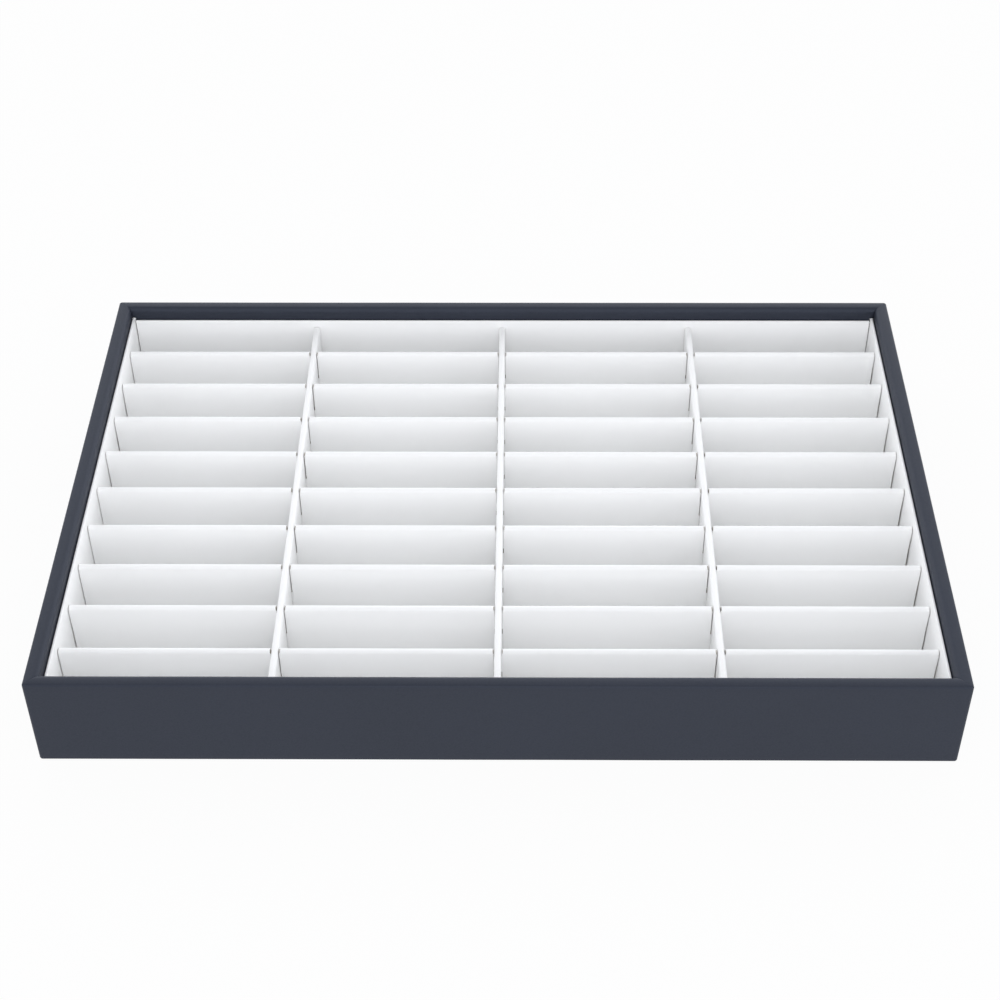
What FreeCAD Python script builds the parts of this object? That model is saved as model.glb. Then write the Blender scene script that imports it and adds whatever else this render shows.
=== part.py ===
import FreeCAD, Part
import math
import os

from FreeCAD import Vector

# A jewelry tray for a counter or a drawer: a shallow frame of boards wrapped in slate leatherette,
# lined in white, with a white egg-crate of half-lapped dividers that stands loose inside it.
# Millimetres. The origin is the centre of the underside, with +X right, +Y back and +Z up.

# Overall size
tray_length = 350.0
tray_depth = 240.0
tray_height = 41.5

# Frame boards and the base let into them
wall_board = 5.0
wall_outer_edge_radius = 0.3
wall_inner_edge_radius = 1.5
wall_corner_radius = 0.3
base_board = 3.0
rabbet_width = 2.5
base_clearance = 0.2

# Slate leatherette: glued round each wall board and turned under the base
slate_skin = 0.5
hem_width = 12.0
underside_clearance = 0.3

# White leatherette on card: the floor and the four liners, each this far below the rim
white_skin = 0.4
floor_card = 2.0
floor_clearance = 0.3
liner_card = 0.4
liner_edge_radius = 0.2
liner_clearance = 0.3
end_liner_drop = 5.7
side_liner_drop = 4.4

# Dividers: greyboard strips folded into white leatherette, half-lapped where they cross
divider_core = 2.0
divider_edge_radius = 0.8
divider_drop = 8.7
row_divider_count = 9
column_divider_names = ["left", "centre", "right"]
end_row_less = 2.3
end_column_less = 0.7
slot_clearance = 0.3
slot_flare = 0.5
divider_end_clearance = 0.2
hang_clearance = 0.3

# The most of a strip's thickness that each of its rounded top edges may take
widest_round = 0.45

# Levels and widths that follow from these
wall_thickness = wall_board + 2 * slate_skin
base_top = slate_skin + base_board
floor_top = base_top + floor_card + white_skin
liner_thickness = liner_card + 2 * white_skin
divider_thickness = divider_core + 2 * white_skin
divider_top = tray_height - divider_drop
lap_level = (floor_top + divider_top) / 2
liner_inset = wall_thickness + liner_clearance + liner_thickness
room_length = tray_length - 2 * liner_inset
room_depth = tray_depth - 2 * liner_inset


def across(u, z):
    """Place a section's point in the plane that a strip along X is cut by."""
    return Vector(0, u, z)


def from_front(x, z):
    """Place an outline's point in the plane that faces the tray's front."""
    return Vector(x, 0, z)


def in_plan(x, y):
    """Place an outline's point in the plane of the underside."""
    return Vector(x, y, 0)


def rounded_face(corners, place):
    """Make a face from corners (a, b) or (a, b, radius), each rounded by a tangent arc."""
    spots = [place(corner[0], corner[1]) for corner in corners]
    radii = [corner[2] if len(corner) > 2 else 0 for corner in corners]
    edges = []
    arcs = []
    starts = []
    ends = []
    for i, spot in enumerate(spots):
        to_last = (spots[i - 1] - spot).normalize()
        to_next = (spots[(i + 1) % len(spots)] - spot).normalize()
        half_angle = to_last.getAngle(to_next) / 2
        trim = radii[i] / math.tan(half_angle)
        starts.append(spot + to_last * trim)
        ends.append(spot + to_next * trim)
        arcs.append(None)
        if radii[i] > 0:
            bisector = (to_last + to_next).normalize()
            nearest = radii[i] / math.sin(half_angle) - radii[i]
            arcs[i] = Part.Arc(starts[i], spot + bisector * nearest, ends[i]).toShape()
    for i in range(len(spots)):
        if arcs[i]:
            edges.append(arcs[i])
        edges.append(Part.LineSegment(ends[i], starts[(i + 1) % len(spots)]).toShape())
    return Part.Face(Part.Wire(edges))


def strip(corners, length):
    """Run a section along X for a length, centred on the origin."""
    solid = rounded_face(corners, across).extrude(Vector(length, 0, 0))
    solid.translate(Vector(-length / 2, 0, 0))
    return solid


def slab(length, depth, bottom, thickness, corner_radius=0.0):
    """Make a flat board or sheet, centred on the tray's middle."""
    x = length / 2
    y = depth / 2
    plan = [(-x, -y, corner_radius), (x, -y, corner_radius), (x, y, corner_radius), (-x, y, corner_radius)]
    solid = rounded_face(plan, in_plan).extrude(Vector(0, 0, thickness))
    solid.translate(Vector(0, 0, bottom))
    return solid


def turned(solid, degrees):
    """Turn a solid about the tray's upright axis."""
    return solid.rotated(Vector(0, 0, 0), Vector(0, 0, 1), degrees)


def moved(solid, x=0.0, y=0.0, z=0.0):
    """Shift a solid from where it is."""
    return solid.translated(Vector(x, y, z))


def wall(length, outer_face, degrees):
    """Make one side's board and its leatherette wrap, mitred at both ends, and turn them to that side."""
    skin = slate_skin
    inner = wall_thickness - skin
    top = tray_height - skin
    outer_bend = wall_outer_edge_radius + skin
    inner_bend = wall_inner_edge_radius + skin
    board_section = [
        (skin, skin, wall_outer_edge_radius),
        (skin, top, wall_outer_edge_radius),
        (inner, top, wall_inner_edge_radius),
        (inner, base_top),
        (inner - rabbet_width, base_top),
        (inner - rabbet_width, skin),
    ]
    wrap_section = [
        (hem_width, 0),
        (0, 0, outer_bend),
        (0, tray_height, outer_bend),
        (wall_thickness, tray_height, inner_bend),
        (wall_thickness, base_top),
        (inner, base_top),
        (inner, top, wall_inner_edge_radius),
        (skin, top, wall_outer_edge_radius),
        (skin, skin, wall_outer_edge_radius),
        (hem_width, skin),
    ]
    mitred_plan = [
        (-length / 2, -outer_face),
        (length / 2, -outer_face),
        (length / 2 - hem_width, hem_width - outer_face),
        (hem_width - length / 2, hem_width - outer_face),
    ]
    mitred = rounded_face(mitred_plan, in_plan).extrude(Vector(0, 0, tray_height))
    wrap_outline = slab(length, 2 * outer_face, 0, tray_height, wall_corner_radius + skin)
    board_outline = slab(length - 2 * skin, 2 * (outer_face - skin), 0, tray_height, wall_corner_radius)
    board = moved(strip(board_section, length), y=-outer_face).common(mitred).common(board_outline)
    wrap = moved(strip(wrap_section, length), y=-outer_face).common(mitred).common(wrap_outline)
    return turned(board, degrees), turned(wrap, degrees)


def folded_strip(core_thickness, edge_radius, length, bottom, top):
    """Make an upright strip along X: its core, and the white leatherette folded over its top edge."""
    half_core = core_thickness / 2
    half_strip = half_core + white_skin
    core_top = top - white_skin
    core_radius = min(edge_radius, widest_round * core_thickness)
    core_section = [
        (-half_core, bottom),
        (half_core, bottom),
        (half_core, core_top, core_radius),
        (-half_core, core_top, core_radius),
    ]
    cover_section = [
        (-half_strip, bottom),
        (-half_core, bottom),
        (-half_core, core_top, core_radius),
        (half_core, core_top, core_radius),
        (half_core, bottom),
        (half_strip, bottom),
        (half_strip, top, core_radius + white_skin),
        (-half_strip, top, core_radius + white_skin),
    ]
    return strip(core_section, length), strip(cover_section, length)


def row_slot(x):
    """Make the cutter for a slot that is open at the top of a row divider, with a flared mouth."""
    half_slot = divider_thickness / 2 + slot_clearance
    mouth = [
        (x - half_slot, lap_level),
        (x + half_slot, lap_level),
        (x + half_slot, divider_top - slot_flare),
        (x + half_slot + 2 * slot_flare, divider_top + slot_flare),
        (x - half_slot - 2 * slot_flare, divider_top + slot_flare),
        (x - half_slot, divider_top - slot_flare),
    ]
    cutter = rounded_face(mouth, from_front).extrude(Vector(0, 2 * divider_thickness, 0))
    return moved(cutter, y=-divider_thickness)


def column_slot(y):
    """Make the cutter for a slot that is open at the bottom of a column divider, which runs along X here."""
    slot_width = divider_thickness + 2 * slot_clearance
    cutter = Part.makeBox(slot_width, 2 * divider_thickness, lap_level)
    return moved(cutter, x=y - slot_width / 2, y=-divider_thickness)


def spaced(count, room, end_less):
    """Centre lines of dividers that part a room into equal cells, with the two end cells a little shorter."""
    cell = (room - count * divider_thickness + 2 * end_less) / (count + 1)
    pitch = cell + divider_thickness
    return [pitch * (i - (count - 1) / 2) for i in range(count)]


parts = {}

# The four mitred walls and their wraps
sides = {
    "front": (tray_length, tray_depth / 2, 0),
    "right": (tray_depth, tray_length / 2, 90),
    "back": (tray_length, tray_depth / 2, 180),
    "left": (tray_depth, tray_length / 2, 270),
}
for side, (length, outer_face, degrees) in sides.items():
    board, wrap = wall(length, outer_face, degrees)
    parts[f"{side}_wall"] = board
    parts[f"{side}_wrap"] = wrap

# The base board in the walls' rabbets, and the sheet that covers it below, between the turned-under hems
base_inset = wall_thickness - slate_skin - rabbet_width + base_clearance
parts["base_board"] = slab(
    tray_length - 2 * base_inset, tray_depth - 2 * base_inset, slate_skin, base_board)
sheet_inset = hem_width + underside_clearance
parts["underside_sheet"] = slab(
    tray_length - 2 * sheet_inset, tray_depth - 2 * sheet_inset, 0, slate_skin)

# The floor card on the base board, and its white cover
floor_length = tray_length - 2 * (wall_thickness + floor_clearance)
floor_depth = tray_depth - 2 * (wall_thickness + floor_clearance)
parts["floor_card"] = slab(floor_length, floor_depth, base_top, floor_card)
parts["floor_cover"] = slab(floor_length, floor_depth, base_top + floor_card, white_skin)

# The four liners: the side ones run from wall to wall, and the end ones fit between them
side_liner_length = tray_depth - 2 * (wall_thickness + liner_clearance)
end_liner_length = room_length - 2 * liner_clearance
liners = {
    "front": (end_liner_length, tray_depth / 2, end_liner_drop, 0),
    "right": (side_liner_length, tray_length / 2, side_liner_drop, 90),
    "back": (end_liner_length, tray_depth / 2, end_liner_drop, 180),
    "left": (side_liner_length, tray_length / 2, side_liner_drop, 270),
}
for side, (length, outer_face, drop, degrees) in liners.items():
    card, cover = folded_strip(liner_card, liner_edge_radius, length, floor_top, tray_height - drop)
    middle = outer_face - liner_inset + liner_thickness / 2
    parts[f"{side}_liner_card"] = turned(moved(card, y=-middle), degrees)
    parts[f"{side}_liner_cover"] = turned(moved(cover, y=-middle), degrees)

# The egg-crate: row dividers run left to right, and column dividers drop into their slots from above
row_places = spaced(row_divider_count, room_depth, end_row_less)
column_places = spaced(len(column_divider_names), room_length, end_column_less)

row_core, row_cover = folded_strip(
    divider_core, divider_edge_radius, room_length - 2 * divider_end_clearance, floor_top, divider_top)
for x in column_places:
    row_core = row_core.cut(row_slot(x))
    row_cover = row_cover.cut(row_slot(x))
for number, y in enumerate(row_places, start=1):
    parts[f"row_divider_{number}_core"] = moved(row_core, y=y)
    parts[f"row_divider_{number}_cover"] = moved(row_cover, y=y)

column_core, column_cover = folded_strip(
    divider_core, divider_edge_radius, room_depth - 2 * divider_end_clearance,
    floor_top + hang_clearance, divider_top)
for y in row_places:
    column_core = column_core.cut(column_slot(y))
    column_cover = column_cover.cut(column_slot(y))
for name, x in zip(column_divider_names, column_places):
    parts[f"column_divider_{name}_core"] = moved(turned(column_core, 90), x=x)
    parts[f"column_divider_{name}_cover"] = moved(turned(column_cover, 90), x=x)

os.makedirs("parts", exist_ok=True)
for node, shape in parts.items():
    shape.exportStep(f"parts/{node}.step")
    print(node, "solids", len(shape.Solids), "valid", shape.isValid(), "volume", round(shape.Volume, 1))
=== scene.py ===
import math

import bmesh
import bpy
from mathutils import Matrix, Vector, noise


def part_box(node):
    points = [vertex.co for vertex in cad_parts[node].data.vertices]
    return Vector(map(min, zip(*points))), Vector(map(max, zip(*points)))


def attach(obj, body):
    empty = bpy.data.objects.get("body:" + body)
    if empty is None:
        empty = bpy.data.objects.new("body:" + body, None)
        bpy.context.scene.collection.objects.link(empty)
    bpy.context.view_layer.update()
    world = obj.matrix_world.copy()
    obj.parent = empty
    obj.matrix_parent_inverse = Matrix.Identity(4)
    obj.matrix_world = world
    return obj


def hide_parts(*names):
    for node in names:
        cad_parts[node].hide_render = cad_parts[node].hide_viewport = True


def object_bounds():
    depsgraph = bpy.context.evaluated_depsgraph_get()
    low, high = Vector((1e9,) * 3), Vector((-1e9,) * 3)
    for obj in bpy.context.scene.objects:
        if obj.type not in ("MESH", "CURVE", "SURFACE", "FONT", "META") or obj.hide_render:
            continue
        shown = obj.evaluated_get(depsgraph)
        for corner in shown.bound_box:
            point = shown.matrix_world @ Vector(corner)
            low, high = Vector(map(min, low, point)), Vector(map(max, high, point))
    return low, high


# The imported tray: every piece below takes its size and place from it. Metres, +X right, +Y back, +Z up.
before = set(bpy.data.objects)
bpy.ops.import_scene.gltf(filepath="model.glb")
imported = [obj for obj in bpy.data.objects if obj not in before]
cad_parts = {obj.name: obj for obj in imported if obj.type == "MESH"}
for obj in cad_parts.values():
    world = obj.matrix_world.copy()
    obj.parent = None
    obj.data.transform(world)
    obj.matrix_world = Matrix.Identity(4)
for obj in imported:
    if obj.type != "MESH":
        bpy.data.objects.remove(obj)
cad_low, cad_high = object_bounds()


# Wall boards and base board
# Strips and a panel of medium-density fibreboard: the walls are mitred and glued at the corners, and the
# base is let into a rabbet along their lower edges. The leatherette hides them, so they keep their solids.


class Wire:
    """One output in a node tree. Operators on it add Math nodes, and node() adds any other kind."""

    def __init__(self, tree, socket=None):
        self.tree = tree
        self.socket = socket

    def join(self, target, value):
        """Give a socket its value: a Wire is linked, a list of Wires all are, and the rest is set."""
        if isinstance(value, Wire):
            self.tree.links.new(value.socket, target)
        elif isinstance(value, list):
            for each in value:
                self.tree.links.new(each.socket, target)
        elif target.type == "RGBA":
            target.default_value = (*value, 1.0)
        else:
            target.default_value = value

    def feed(self, made, values):
        """Give sockets of a node, named as they show, their values or links."""
        for name, value in values.items():
            self.join(next(s for s in made.inputs if s.enabled and s.name == name), value)

    def node(self, kind, settings=None, values=None, output=""):
        """Add a node: its settings first, then its sockets. Returns the named or first output."""
        made = self.tree.nodes.new(kind)
        for name, value in (settings or {}).items():
            setattr(made, name, value)
        self.feed(made, values or {})
        return Wire(self.tree, next(s for s in made.outputs if s.enabled and output in ("", s.name)))

    def math(self, operation, *terms):
        made = self.tree.nodes.new("ShaderNodeMath")
        made.operation = operation
        for target, term in zip(made.inputs, terms):
            self.join(target, term)
        return Wire(self.tree, made.outputs[0])

    def mix(self, factor, first, second):
        """Blend two colours by a factor from 0 to 1."""
        return self.node("ShaderNodeMix", {"data_type": "RGBA"}, {"Factor": factor, "A": first, "B": second})

    def __add__(self, other):
        return self.math("ADD", self, other)

    def __sub__(self, other):
        return self.math("SUBTRACT", self, other)

    def __rsub__(self, other):
        return self.math("SUBTRACT", other, self)

    def __mul__(self, other):
        return self.math("MULTIPLY", self, other)

    def __truediv__(self, other):
        return self.math("DIVIDE", self, other)

    def __rtruediv__(self, other):
        return self.math("DIVIDE", other, self)

    def __gt__(self, other):
        return self.math("GREATER_THAN", self, other)

    def __lt__(self, other):
        return self.math("LESS_THAN", self, other)

    __radd__ = __add__
    __rmul__ = __mul__


def start_finish(name):
    """Start a material: the material, its surface shader and a Wire of the piece's own coordinates."""
    material = bpy.data.materials.new(name)
    material.use_nodes = True
    shader = material.node_tree.nodes["Principled BSDF"]
    return material, shader, Wire(material.node_tree).node("ShaderNodeTexCoord", output="Object")


def speckle(place, size, detail=2.0, roughness=0.5):
    """Soft noise, 0 to 1, whose blotches are about this size."""
    settings = {"Vector": place, "Scale": 1 / size, "Detail": detail, "Roughness": roughness}
    return place.node("ShaderNodeTexNoise", None, settings, "Fac")


def fibreboard():
    """Pressed brown wood dust with paler fibres and a few dark specks."""
    dust_brown = (0.32, 0.21, 0.12)
    fibre_pale = (0.50, 0.37, 0.24)
    speck_dark = (0.16, 0.10, 0.06)
    fibre_size = 0.0012
    fibre_depth = 0.0001
    speck_size = 0.0005
    speck_level = 0.68
    speck_share = 0.6
    material, shader, place = start_finish("fibreboard")
    fibres = speckle(place, fibre_size, 6.0, 0.7)
    specks = speckle(place, speck_size, 1.0) > speck_level
    colour = place.mix(fibres, dust_brown, fibre_pale)
    colour = place.mix(speck_share * specks, colour, speck_dark)
    bump = place.node("ShaderNodeBump", None, {"Strength": 0.4, "Distance": fibre_depth, "Height": fibres})
    place.feed(shader, {
        "Base Color": colour,
        "Roughness": 0.75 + 0.15 * fibres,
        "Normal": bump,
        "Specular IOR Level": 0.25,
    })
    return material


def refinish(names, material):
    """Give CAD nodes that stay in view a finished material in place of their plain one."""
    for name in names:
        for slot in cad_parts[name].material_slots:
            slot.material = material


sides = ["front", "right", "back", "left"]
refinish([f"{side}_wall" for side in sides] + ["base_board"], fibreboard())


# Wraps and underside sheet
# Slate leatherette, an embossed vinyl on cloth, glued round each wall board: under the base, up the outside,
# over the rim and down the inside, mitred at the corners. A plain sheet covers the base between the hems.


def slate_leatherette():
    """Dark blue-grey vinyl with a fine pebble grain and paler patches, a little shinier where it is drawn
    over an edge, where a painted highlight also lightens its colour.
    """
    pebble_slate = (0.0180, 0.0210, 0.0322)
    crease_slate = (0.0119, 0.0140, 0.0222)
    patch_and_highlight_slate = (0.0270, 0.0310, 0.0450)
    pebble_size = 0.0007
    pore_size = 0.00022
    grain_depth = 0.00006
    press_size = 0.06
    press_share = 0.8
    bend_highlight_share = 0.25
    material, shader, place = start_finish("slate_leatherette")
    pebbles = place.node(
        "ShaderNodeTexVoronoi", {"feature": "SMOOTH_F1"},
        {"Vector": place, "Scale": 1 / pebble_size, "Smoothness": 0.7}, "Distance")
    pores = speckle(place, pore_size)
    press = speckle(place, press_size, 4.0)
    fold = place.node("ShaderNodeAttribute", {"attribute_name": "fold"}, None, "Fac")
    creases = 0.75 * pebbles + 0.25 * pores
    colour = place.mix(creases, pebble_slate, crease_slate)
    # The paler slate is the vinyl's own paler patches here, and a painted highlight over the bends on the
    # next line
    colour = place.mix(press_share * press, colour, patch_and_highlight_slate)
    # Painted highlight: the colour is lightened over each bend of the wrap, where light would glint off the
    # rounding
    colour = place.mix(bend_highlight_share * fold, colour, patch_and_highlight_slate)
    relief = {"Strength": 0.35, "Distance": grain_depth, "Height": 1 - creases}
    bump = place.node("ShaderNodeBump", None, relief)
    place.feed(shader, {
        "Base Color": colour,
        "Roughness": 0.48 + 0.10 * creases + 0.10 * press - 0.03 * fold,
        "Normal": bump,
        "Specular IOR Level": 0.44,
        "Specular Tint": (0.75, 0.84, 1.0),
    })
    return material


def outline_steps(start, bends, end, spacings, bend_steps):
    """Walk a section of straight runs and right-hand quarter bends, each bend a corner and its radius.
    Gives each step's point, its outward normal and its fold, which is 1 in the middle of a bend."""
    spots = [start] + [spot for spot, _ in bends] + [end]
    radii = [0.0] + [radius for _, radius in bends] + [0.0]
    steps = []
    for i in range(len(spots) - 1):
        along = (spots[i + 1] - spots[i]).normalized()
        outward = Vector((-along.y, along.x))
        first = spots[i] + along * radii[i]
        last = spots[i + 1] - along * radii[i + 1]
        parts = max(1, math.ceil((last - first).length / spacings[i]))
        steps += [(first.lerp(last, k / parts), outward, 0.0) for k in range(parts + 1)]
        centre = last - outward * radii[i + 1]
        for k in range(1, bend_steps if radii[i + 1] else 1):
            angle = k / bend_steps * math.pi / 2
            normal = outward * math.cos(angle) + along * math.sin(angle)
            steps.append((centre + normal * radii[i + 1], normal, math.sin(2 * angle)))
    return steps


def smooth_piece(name, mesh, material):
    """Make a scene object of a closed mesh, with its faces outward and only its real edges sharp."""
    sharp_angle = math.radians(40)
    shell = bmesh.new()
    shell.from_mesh(mesh)
    bmesh.ops.recalc_face_normals(shell, faces=shell.faces)
    shell.to_mesh(mesh)
    shell.free()
    mesh.shade_smooth()
    mesh.set_sharp_from_angle(angle=sharp_angle)
    mesh.materials.clear()
    mesh.materials.append(material)
    piece = bpy.data.objects.new(name, mesh)
    bpy.context.scene.collection.objects.link(piece)
    return piece


slate = slate_leatherette()
slate_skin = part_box("front_wall")[0].y - cad_low.y
hem_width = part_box("front_wrap")[1].y - cad_low.y
wall_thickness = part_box("front_wall")[1].y - cad_low.y + slate_skin
wall_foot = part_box("base_board")[1].z
rim_level = cad_high.z
outer_bend = 0.0008
rim_bend = 0.002
rim_crown = 0.0003
crown_fade = 0.008
upright_corner = 0.0012
seam_width = 0.0004
seam_dip = 0.00007
wrap_wave = 0.00009
wave_length = 0.045
wave_seed_step = 3.7
run_step = 0.003
rim_step = 0.0006
bend_steps = 8
corner_steps = 5
tray_length = cad_high.x - cad_low.x
tray_depth = cad_high.y - cad_low.y


def crowned(point):
    """Lower a point of the section to the rim's crown, which is highest over the middle of the wall."""
    off_middle = 2 * point.x / wall_thickness - 1
    near_rim = max(0.0, 1 - (rim_level - point.y) / crown_fade)
    return Vector((point.x, point.y - rim_crown * off_middle ** 2 * near_rim))


plain_section = outline_steps(
    Vector((hem_width, 0)),
    [
        (Vector((0, 0)), outer_bend),
        (Vector((0, rim_level)), outer_bend),
        (Vector((wall_thickness, rim_level)), rim_bend),
    ],
    Vector((wall_thickness, wall_foot)),
    [run_step, run_step, rim_step, run_step],
    bend_steps)
wrap_section = [(crowned(point), normal, fold) for point, normal, fold in plain_section]


def wrap_spot(inset, level, half_length, share, turn):
    """Place a point of the section along the wrap: share is how far from the middle to the corner it is,
    and turn how far, from 0 to 1, it has gone round the upright corner to the mitre."""
    if inset >= upright_corner:
        return Vector((share * (half_length - inset - seam_width) + seam_width * turn, inset, level))
    ring = upright_corner - inset
    angle = turn * math.pi / 4
    x = share * (half_length - upright_corner) + ring * math.sin(angle)
    return Vector((x, upright_corner - ring * math.cos(angle), level))


def wrap_mesh(length, outer_face, degrees, seed):
    """Sweep the section from mitre to mitre as a skin with two faces, and turn it to its side of the tray."""
    half_length = length / 2
    runs = round(half_length / run_step)
    near_half = [(k / runs, 0.0) for k in range(1, runs + 1)]
    near_half += [(1.0, k / corner_steps) for k in range(1, corner_steps + 1)]
    stations = [(-1, *s) for s in reversed(near_half)] + [(1, 0.0, 0.0)] + [(1, *s) for s in near_half]
    vertices = []
    folds = []
    for way, share, turn in stations:
        for layer in (0.0, slate_skin):
            for k, (point, normal, fold) in enumerate(wrap_section):
                ripple = noise.noise(Vector((way * share * half_length, k * run_step, seed)) / wave_length)
                # The outer face is a little uneven, and the inner one lies flat on the board
                dip = wrap_wave * (1 + ripple) / 2 + seam_dip * turn ** 3
                spot = point - normal * (layer or dip)
                place = wrap_spot(spot.x, spot.y, half_length, share, turn)
                vertices.append((way * place.x, place.y - outer_face, place.z))
                folds.append(fold)
    across = len(wrap_section)
    ring = list(range(across)) + list(range(2 * across - 1, across - 1, -1))
    faces = []
    for i in range(len(stations) - 1):
        here = [2 * across * i + j for j in ring]
        there = [2 * across * (i + 1) + j for j in ring]
        for j in range(len(ring)):
            faces.append((here[j - 1], here[j], there[j], there[j - 1]))
    for i in (0, len(stations) - 1):
        base = 2 * across * i
        for j in range(across - 1):
            faces.append((base + j, base + j + 1, base + across + j + 1, base + across + j))
    mesh = bpy.data.meshes.new("wrap")
    mesh.from_pydata(vertices, [], faces)
    mesh.attributes.new("fold", "FLOAT", "POINT").data.foreach_set("value", folds)
    mesh.transform(Matrix.Rotation(math.radians(degrees), 4, "Z"))
    return mesh


for number, side in enumerate(sides):
    runs_back = side in ("left", "right")
    length, depth = (tray_depth, tray_length) if runs_back else (tray_length, tray_depth)
    mesh = wrap_mesh(length, depth / 2, 90 * number, wave_seed_step * number)
    wrap = smooth_piece(f"{side}_wrap_skin", mesh, slate)
    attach(wrap, "tray")
    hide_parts(f"{side}_wrap")

refinish(["underside_sheet"], slate)


# Floor card and cover
# A sheet of greyboard laid on the base board, with white leatherette glued over it: the floor that shows
# in the compartments. Both are cut a little short of the walls and dropped in.


def greyboard():
    """Pulped waste paper pressed in layers: grey-brown, fibrous, with pale and dark flecks."""
    pulp_grey = (0.34, 0.30, 0.25)
    pulp_pale = (0.47, 0.43, 0.37)
    fleck_dark = (0.16, 0.13, 0.10)
    pulp_size = 0.0016
    pulp_depth = 0.0001
    fleck_size = 0.0006
    fleck_level = 0.66
    fleck_share = 0.5
    material, shader, place = start_finish("greyboard")
    pulp = speckle(place, pulp_size, 5.0, 0.65)
    flecks = speckle(place, fleck_size, 1.0) > fleck_level
    colour = place.mix(pulp, pulp_grey, pulp_pale)
    colour = place.mix(fleck_share * flecks, colour, fleck_dark)
    bump = place.node("ShaderNodeBump", None, {"Strength": 0.5, "Distance": pulp_depth, "Height": pulp})
    place.feed(shader, {
        "Base Color": colour,
        "Roughness": 0.82 + 0.12 * pulp,
        "Normal": bump,
        "Specular IOR Level": 0.2,
    })
    return material


def white_leatherette():
    """White vinyl with a very fine grain, hardly warmer in its creases, on cloth that shows at cut edges,
    darkened there as painted shade for the narrow gaps.
    """
    grain_white = (0.972, 0.974, 0.970)
    crease_white = (0.952, 0.953, 0.945)
    backing_and_painted_shade_beige = (0.40, 0.35, 0.29)
    grain_size = 0.00045
    pore_size = 0.00016
    grain_depth = 0.00003
    press_size = 0.02
    material, shader, place = start_finish("white_leatherette")
    grain = place.node(
        "ShaderNodeTexVoronoi", {"feature": "SMOOTH_F1"},
        {"Vector": place, "Scale": 1 / grain_size, "Smoothness": 0.8}, "Distance")
    pores = speckle(place, pore_size)
    press = speckle(place, press_size, 4.0)
    creases = 0.7 * grain + 0.3 * pores
    cut = place.node("ShaderNodeAttribute", {"attribute_name": "cut"}, None, "Fac")
    colour = place.mix(0.4 * creases + 0.3 * press, grain_white, crease_white)
    # The cut edges take the backing cloth's colour, made dark enough to stand in for the shade in the slit
    # gaps: partly real cloth, partly painted shade
    colour = place.mix(cut, colour, backing_and_painted_shade_beige)
    relief = {"Strength": 0.25, "Distance": grain_depth, "Height": 1 - creases}
    bump = place.node("ShaderNodeBump", None, relief)
    place.feed(shader, {
        "Base Color": colour,
        "Roughness": 0.46 + 0.12 * creases + 0.08 * press,
        "Normal": bump,
        "Specular IOR Level": 0.35,
    })
    return material


grey = greyboard()
white = white_leatherette()
refinish(["floor_card"], grey)
refinish(["floor_cover"], white)


# Liners
# Four strips of card against the walls, each with white leatherette folded over its top edge and glued down
# both faces. The side ones run from wall to wall, and the front and back ones are pushed in between them.


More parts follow.
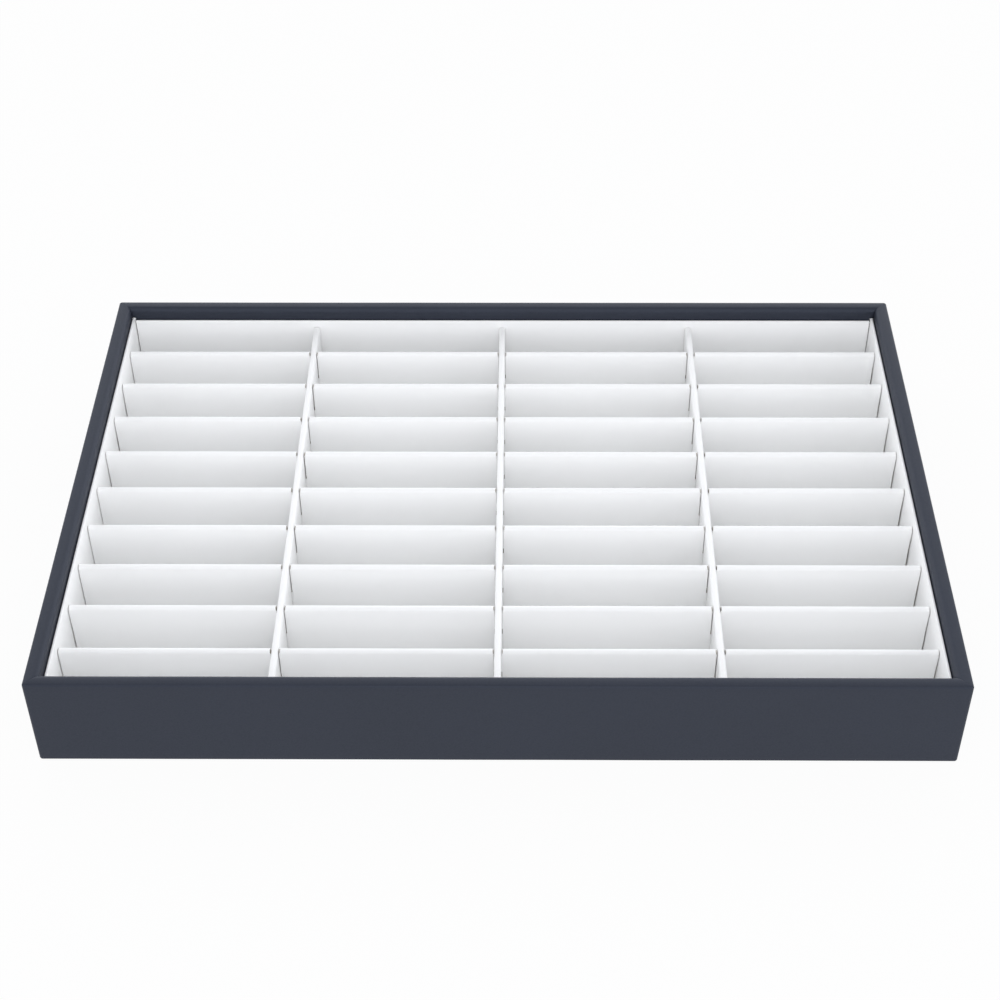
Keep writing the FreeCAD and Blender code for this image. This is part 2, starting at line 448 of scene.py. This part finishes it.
def folded_cover_tree():
    """Leatherette folded over a strip's top edge: swept along a line of stations, slit where a divider
    crosses, its slits flared over the fold, a little uneven, and given the skin's thickness inwards."""
    tree = bpy.data.node_groups.new("folded_cover", "GeometryNodeTree")
    tree.interface.new_socket("Geometry", in_out="OUTPUT", socket_type="NodeSocketGeometry")
    tree.interface.new_socket("Line", in_out="INPUT", socket_type="NodeSocketGeometry")
    section_sizes = ["Thickness", "Bottom", "Lap", "Top", "Bend", "Skin"]
    for name in section_sizes + ["Slit Side", "Flare", "Wave", "Wave Length", "Seed"]:
        tree.interface.new_socket(name, in_out="INPUT", socket_type="NodeSocketFloat")
    tree.interface.new_socket("Finish", in_out="INPUT", socket_type="NodeSocketMaterial")
    start = Wire(tree)
    enter = tree.nodes.new("NodeGroupInput")
    given = {socket.name: Wire(tree, socket) for socket in enter.outputs if socket.name}
    lap, top, bend = given["Lap"], given["Top"], given["Bend"]

    # The fold in section: up one face, over the top and down the other. On each side a point stands at the
    # bottom, at the lap and at the top, and the top ones are rounded.
    point_count = 6
    middle = (point_count - 1) / 2
    bend_parts = 6
    index = start.node("GeometryNodeInputIndex")
    from_middle = start.math("ABSOLUTE", index - middle)
    level = top - (from_middle > 1) * (top - lap) - (from_middle > 2) * (lap - given["Bottom"])
    side = (index > middle) - 0.5
    point = start.node("ShaderNodeCombineXYZ", None, {"X": side * given["Thickness"] * -1, "Y": level * -1})
    points = start.node("GeometryNodeMeshLine", None, {"Count": point_count})
    points = start.node("GeometryNodeSetPosition", None, {"Geometry": points, "Position": point})
    section = start.node("GeometryNodeMeshToCurve", None, {"Mesh": points})
    rounding = {"Curve": section, "Count": bend_parts, "Radius": (from_middle < 1) * bend}
    section = start.node("GeometryNodeFilletCurve", {"mode": "POLY"}, rounding)

    # The sheet along the stations, less what the slits take out
    line = start.node("GeometryNodeMeshToCurve", None, {"Mesh": given["Line"]})
    sheet = start.node("GeometryNodeCurveToMesh", None, {"Curve": line, "Profile Curve": section})
    position = start.node("GeometryNodeInputPosition")
    height = start.node("ShaderNodeSeparateXYZ", None, {"Vector": position}, "Z")
    past_slit, mouth, shoulder, short_cut = [
        start.node("GeometryNodeInputNamedAttribute", None, {"Name": name})
        for name in ("past_slit", "mouth", "shoulder", "short_cut")]
    in_slit = (past_slit < 0) * ((height - lap) * given["Slit Side"] > 0)
    cut_out = {"Geometry": sheet, "Selection": in_slit}
    sheet = start.node("GeometryNodeDeleteGeometry", {"domain": "FACE"}, cut_out)
    fold_foot = top - bend
    over_fold = start.math("MAXIMUM", 0.0, (height - fold_foot) / bend)
    below_fold = start.math("MAXIMUM", 0.0, (fold_foot - height) / (fold_foot - lap))
    below_fold = start.math("MINIMUM", 1.0, below_fold)
    sideways = mouth * given["Flare"] * over_fold + short_cut * below_fold
    ease = start.node("ShaderNodeCombineXYZ", None, {"X": sideways, "Z": shoulder * (over_fold > 0) * -1})
    sheet = start.node("GeometryNodeSetPosition", None, {"Geometry": sheet, "Offset": ease})

    # A little unevenness from the glue under it, and the skin's thickness, whose raw edges are marked as cut.
    # Both go inwards, the way that the sheet's normals point, so at the end the sheet is turned round.
    same_spot = 1e-7
    sheet = start.node("GeometryNodeSubdivideMesh", None, {"Mesh": sheet, "Level": 1})
    ripple = start.node(
        "ShaderNodeTexNoise", {"noise_dimensions": "4D"},
        {"Vector": position, "W": given["Seed"], "Scale": 1.0 / given["Wave Length"]}, "Fac")
    normal = start.node("GeometryNodeInputNormal", output="Normal")
    waves = start.node(
        "ShaderNodeVectorMath", {"operation": "SCALE"},
        {"Vector": normal, "Scale": (1 - ripple) * given["Wave"]})
    sheet = start.node("GeometryNodeSetPosition", None, {"Geometry": sheet, "Offset": waves})
    inner = start.node(
        "GeometryNodeExtrudeMesh", {"mode": "FACES"},
        {"Mesh": sheet, "Offset Scale": given["Skin"], "Individual": False}, "Mesh")
    raw_edges = Wire(tree, inner.socket.node.outputs["Side"])
    inner = start.node(
        "GeometryNodeStoreNamedAttribute", {"domain": "FACE"},
        {"Geometry": inner, "Selection": raw_edges, "Name": "cut", "Value": 1.0})
    outer = start.node("GeometryNodeFlipFaces", None, {"Mesh": sheet})
    skin = start.node("GeometryNodeJoinGeometry", None, {"Geometry": [outer, inner]})
    skin = start.node("GeometryNodeMergeByDistance", None, {"Geometry": skin, "Distance": same_spot})
    skin = start.node("GeometryNodeRealizeInstances", None, {"Geometry": skin})
    skin = start.node("GeometryNodeSetMaterial", None, {"Geometry": skin, "Material": given["Finish"]})
    leave = tree.nodes.new("NodeGroupOutput")
    start.feed(leave, {"Geometry": skin})
    return tree


def eased(distance, radius):
    """How far a rounded shoulder has dropped at this distance from its edge."""
    short = max(0.0, radius - max(0.0, distance))
    return radius - math.sqrt(radius * radius - short * short)


def cover_line(length, slits, mouth_round, end_round, short_cuts):
    """A line along X of the stations that a cover needs, with slits given as a middle and a width. Each has
    its distance past the nearest slit's edge, below zero inside one, its share of the slit's flare, the drop
    of its rounded shoulder, and how much too short the leatherette was cut, at the first end and the last."""
    half = length / 2
    spacing = 0.005
    flare_reach = 0.0015
    edge_slack = 1e-6
    shoulder_shares = (0.0, 0.1, 0.25, 0.5, 1.0)
    keys = {middle for middle, _ in slits}
    for share in shoulder_shares:
        keys |= {end_round * share - half, half - end_round * share}
    for middle, width in slits:
        for reach in [mouth_round * share for share in shoulder_shares] + [flare_reach]:
            keys |= {middle - width / 2 - reach, middle + width / 2 + reach}
    keys = sorted(keys)
    places = [keys[0]]
    for first, last in zip(keys, keys[1:]):
        parts = math.ceil((last - first) / spacing)
        places += [first + (last - first) * k / parts for k in range(1, parts + 1)]
    stations = {"past_slit": [], "mouth": [], "shoulder": [], "short_cut": []}
    for x in places:
        from_slits = [(abs(x - middle) - width / 2, x - middle) for middle, width in slits]
        past, way = min(from_slits + [(length, 0.0)])
        flare = math.copysign(max(0.0, 1 - past / flare_reach), way)
        at_end = abs(x) > half - end_round
        short_cut = short_cuts[0] if x < 0 else -short_cuts[1]
        stations["past_slit"].append(past)
        stations["mouth"].append(flare if past >= -edge_slack else 0.0)
        stations["shoulder"].append(max(eased(past, mouth_round), eased(half - abs(x), end_round)))
        stations["short_cut"].append(short_cut if at_end else 0.0)
    mesh = bpy.data.meshes.new("cover_line")
    mesh.from_pydata([(x, 0, 0) for x in places], [(i, i + 1) for i in range(len(places) - 1)], [])
    for name, values in stations.items():
        mesh.attributes.new(name, "FLOAT", "POINT").data.foreach_set("value", values)
    return mesh


def folded_cover(name, line, sizes, place):
    """Run the tree on a line of stations, and turn the result into a plain piece in its place."""
    host = bpy.data.objects.new(name + "_line", line)
    bpy.context.scene.collection.objects.link(host)
    modifier = host.modifiers.new("folded_cover", "NODES")
    modifier.node_group = cover_tree
    for socket in cover_tree.interface.items_tree:
        if socket.in_out == "INPUT" and socket.name in sizes:
            modifier[socket.identifier] = sizes[socket.name]
    evaluated = host.evaluated_get(bpy.context.evaluated_depsgraph_get())
    mesh = bpy.data.meshes.new_from_object(evaluated)
    bpy.data.objects.remove(host)
    mesh.transform(place)
    return smooth_piece(name, mesh, sizes["Finish"])


def standing(low, high):
    """Where a cover that was made along X about the origin goes: over its CAD box, turned if that is deep."""
    middle = (low + high) / 2
    quarter = math.pi / 2 if high.y - low.y > high.x - low.x else 0.0
    return Matrix.Translation((middle.x, middle.y, 0)) @ Matrix.Rotation(quarter, 4, "Z")


cover_tree = folded_cover_tree()
white_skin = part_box("floor_cover")[1].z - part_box("floor_cover")[0].z
liner_bend = 0.0005
liner_end_round = 0.0003
liner_wave = 0.00006
liner_seed = 40.0
cover_wave_length = 0.018
for number, side in enumerate(sides):
    low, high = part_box(f"{side}_liner_cover")
    size = high - low
    line = cover_line(max(size.x, size.y), [], 0.0, liner_end_round, (0.0, 0.0))
    sizes = {
        "Thickness": min(size.x, size.y),
        "Bottom": low.z,
        "Lap": (low.z + high.z) / 2,
        "Top": high.z,
        "Bend": liner_bend,
        "Skin": white_skin,
        "Slit Side": 1.0,
        "Flare": 0.0,
        "Wave": liner_wave,
        "Wave Length": cover_wave_length,
        "Seed": liner_seed + number,
        "Finish": white,
    }
    cover = folded_cover(f"{side}_liner_fold", line, sizes, standing(low, high))
    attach(cover, "tray")
    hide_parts(f"{side}_liner_cover")

refinish([f"{side}_liner_card" for side in sides], grey)


# Row dividers
# Nine strips of greyboard from side to side, each folded into white leatherette and slit from the top down
# to half its height where a column divider drops in. They stand loose on the floor, held by the columns.

row_names = [f"row_divider_{number}" for number in range(1, 10)]
column_names = [f"column_divider_{place}" for place in ("left", "centre", "right")]
column_boxes = [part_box(f"{name}_cover") for name in column_names]
row_boxes = [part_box(f"{name}_cover") for name in row_names]
column_places = [(low.x + high.x) / 2 for low, high in column_boxes]
divider_thickness = column_boxes[0][1].x - column_boxes[0][0].x
lap_level = (row_boxes[0][0].z + row_boxes[0][1].z) / 2
divider_bend = 0.0012
divider_wave = 0.00008
row_seed = 1.0
slit_gap = 0.00024
slit_draw = 0.00008
slit_stray = 0.00012
mouth_flare = 0.00025
mouth_round = 0.0003
divider_end_round = 0.0003
left_short = 0.0001
right_short = 0.0003
short_spread = 0.0002

for number, (name, (low, high)) in enumerate(zip(row_names, row_boxes)):
    # No slit is cut quite in its place, and each strip's leatherette lies a little to one end
    slits = []
    for k, place in enumerate(column_places):
        stray = slit_stray * noise.noise(Vector((0.9 * number, 2.3 * k, 5.5)))
        slits.append((place + (1 - k) * slit_draw + stray, divider_thickness + 2 * slit_gap))
    uneven = short_spread * noise.noise(Vector((1.7 * number, 0.3, 0.0)))
    short_cuts = (left_short - uneven, right_short + uneven)
    line = cover_line(high.x - low.x, slits, mouth_round, divider_end_round, short_cuts)
    sizes = {
        "Thickness": high.y - low.y,
        "Bottom": low.z,
        "Lap": lap_level,
        "Top": high.z,
        "Bend": divider_bend,
        "Skin": white_skin,
        "Slit Side": 1.0,
        "Flare": mouth_flare,
        "Wave": divider_wave,
        "Wave Length": cover_wave_length,
        "Seed": row_seed + number,
        "Finish": white,
    }
    cover = folded_cover(f"{name}_fold", line, sizes, standing(low, high))
    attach(cover, "row_dividers")
    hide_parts(f"{name}_cover")

refinish([f"{name}_core" for name in row_names], grey)


# Column dividers
# Three strips of the same make from front to back, slit from the bottom up to half their height, so that
# each drops over the nine row dividers and its top edge runs on unbroken over theirs.

column_seed = 20.0
row_places = [(low.y + high.y) / 2 for low, high in row_boxes]
for number, (name, (low, high)) in enumerate(zip(column_names, column_boxes)):
    slits = [(place, divider_thickness + 2 * slit_gap) for place in row_places]
    line = cover_line(high.y - low.y, slits, 0.0, divider_end_round, (left_short, left_short))
    sizes = {
        "Thickness": high.x - low.x,
        "Bottom": low.z,
        "Lap": lap_level,
        "Top": high.z,
        "Bend": divider_bend,
        "Skin": white_skin,
        "Slit Side": -1.0,
        "Flare": 0.0,
        "Wave": divider_wave,
        "Wave Length": cover_wave_length,
        "Seed": column_seed + number,
        "Finish": white,
    }
    cover = folded_cover(f"{name}_fold", line, sizes, standing(low, high))
    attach(cover, name)
    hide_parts(f"{name}_cover")

refinish([f"{name}_core" for name in column_names], grey)


# Studio
# A pale floor that shows as white to the camera and keeps a soft shadow, a large soft lamp high in front, and
# a soft surround whose level changes smoothly from side to side and from front to back.

floor_reach = 3.0
floor_level = -0.0001
floor_white = (0.8, 0.8, 0.8)
floor_glow = 0.95
studio_white = (0.978, 0.99, 1.025)
left_light = 1.25
right_light = 1.45
front_light = 1.4
back_light = 2.55
underfoot_light = 0.8
softbox_place = Vector((0, -0.87, 1.34))
softbox_width = 1.0
softbox_watts = 6.4


def seen_directly(start):
    """1 for rays from the camera or off gloss or through glass, which see the backdrop as it looks."""
    kinds = ["Is Camera Ray", "Is Glossy Ray", "Is Transmission Ray"]
    camera, glossy, through = [start.node("ShaderNodeLightPath", output=kind) for kind in kinds]
    return start.math("MINIMUM", camera + glossy + through, 1.0)


floor_finish = bpy.data.materials.new("studio_floor")
floor_finish.use_nodes = True
floor_finish.node_tree.nodes.clear()
floor_start = Wire(floor_finish.node_tree)
floor_plain = floor_start.node("ShaderNodeBsdfDiffuse", None, {"Color": floor_white})
floor_lit = floor_start.node("ShaderNodeEmission", None, {"Color": (1, 1, 1), "Strength": 1.0})
floor_mix = floor_finish.node_tree.nodes.new("ShaderNodeMixShader")
floor_start.join(floor_mix.inputs[0], floor_glow * seen_directly(floor_start))
floor_start.join(floor_mix.inputs[1], floor_plain)
floor_start.join(floor_mix.inputs[2], floor_lit)
floor_out = floor_finish.node_tree.nodes.new("ShaderNodeOutputMaterial")
floor_start.join(floor_out.inputs["Surface"], Wire(floor_finish.node_tree, floor_mix.outputs[0]))

floor_mesh = bpy.data.meshes.new("studio_floor")
corners = [(-1, -1), (1, -1), (1, 1), (-1, 1)]
floor_points = [(x * floor_reach, y * floor_reach, floor_level) for x, y in corners]
floor_mesh.from_pydata(floor_points, [], [(0, 1, 2, 3)])
floor_mesh.materials.append(floor_finish)
floor = bpy.data.objects.new("studio_floor", floor_mesh)
bpy.context.scene.collection.objects.link(floor)

world = bpy.data.worlds.new("studio_surround")
world.use_nodes = True
bpy.context.scene.world = world
background = world.node_tree.nodes["Background"]
toward = Wire(world.node_tree).node("ShaderNodeTexCoord", output="Generated")
x, y, z = [toward.node("ShaderNodeSeparateXYZ", None, {"Vector": toward}, axis) for axis in "XYZ"]
across_light = x * x * ((x < 0) * left_light + (x > 0) * right_light)
along_light = y * y * ((y < 0) * front_light + (y > 0) * back_light)
under_light = z * z * (z < 0) * underfoot_light
toward.feed(background, {"Color": studio_white, "Strength": across_light + along_light + under_light})

softbox_light = bpy.data.lights.new("front_softbox", "AREA")
softbox_light.size = softbox_width
softbox_light.energy = softbox_watts
softbox_light.color = studio_white
softbox = bpy.data.objects.new("front_softbox", softbox_light)
softbox.location = softbox_place
softbox.rotation_euler = (-softbox_place).to_track_quat("-Z", "Y").to_euler()
bpy.context.scene.collection.objects.link(softbox)


# Camera
# A longish lens in front of the tray and well above it, as in the photograph, which is framed a little
# high and to one side of the lens's axis.

image_size = 1000.0
focal_pixels = 1931.7
axis_pixel = (505.6, 569.3)
camera_place = Vector((0.00868, -0.60386, 0.56009))
camera_down_tilt = math.radians(43.511)
camera_yaw = math.radians(-0.621)
camera_roll = math.radians(-0.318)

camera_data = bpy.data.cameras.new("photograph_camera")
camera_data.sensor_width = 36.0
camera_data.lens = focal_pixels / image_size * camera_data.sensor_width
camera_data.shift_x = 0.5 - axis_pixel[0] / image_size
camera_data.shift_y = axis_pixel[1] / image_size - 0.5
camera_data.clip_start = 0.01
camera_data.clip_end = 50.0
camera = bpy.data.objects.new("photograph_camera", camera_data)
camera.matrix_world = (
    Matrix.Translation(camera_place)
    @ Matrix.Rotation(-camera_yaw, 4, "Z")
    @ Matrix.Rotation(math.pi / 2 - camera_down_tilt, 4, "X")
    @ Matrix.Rotation(camera_roll, 4, "Z")
)
bpy.context.scene.collection.objects.link(camera)
bpy.context.scene.camera = camera
bpy.context.scene.view_settings.view_transform = "Standard"
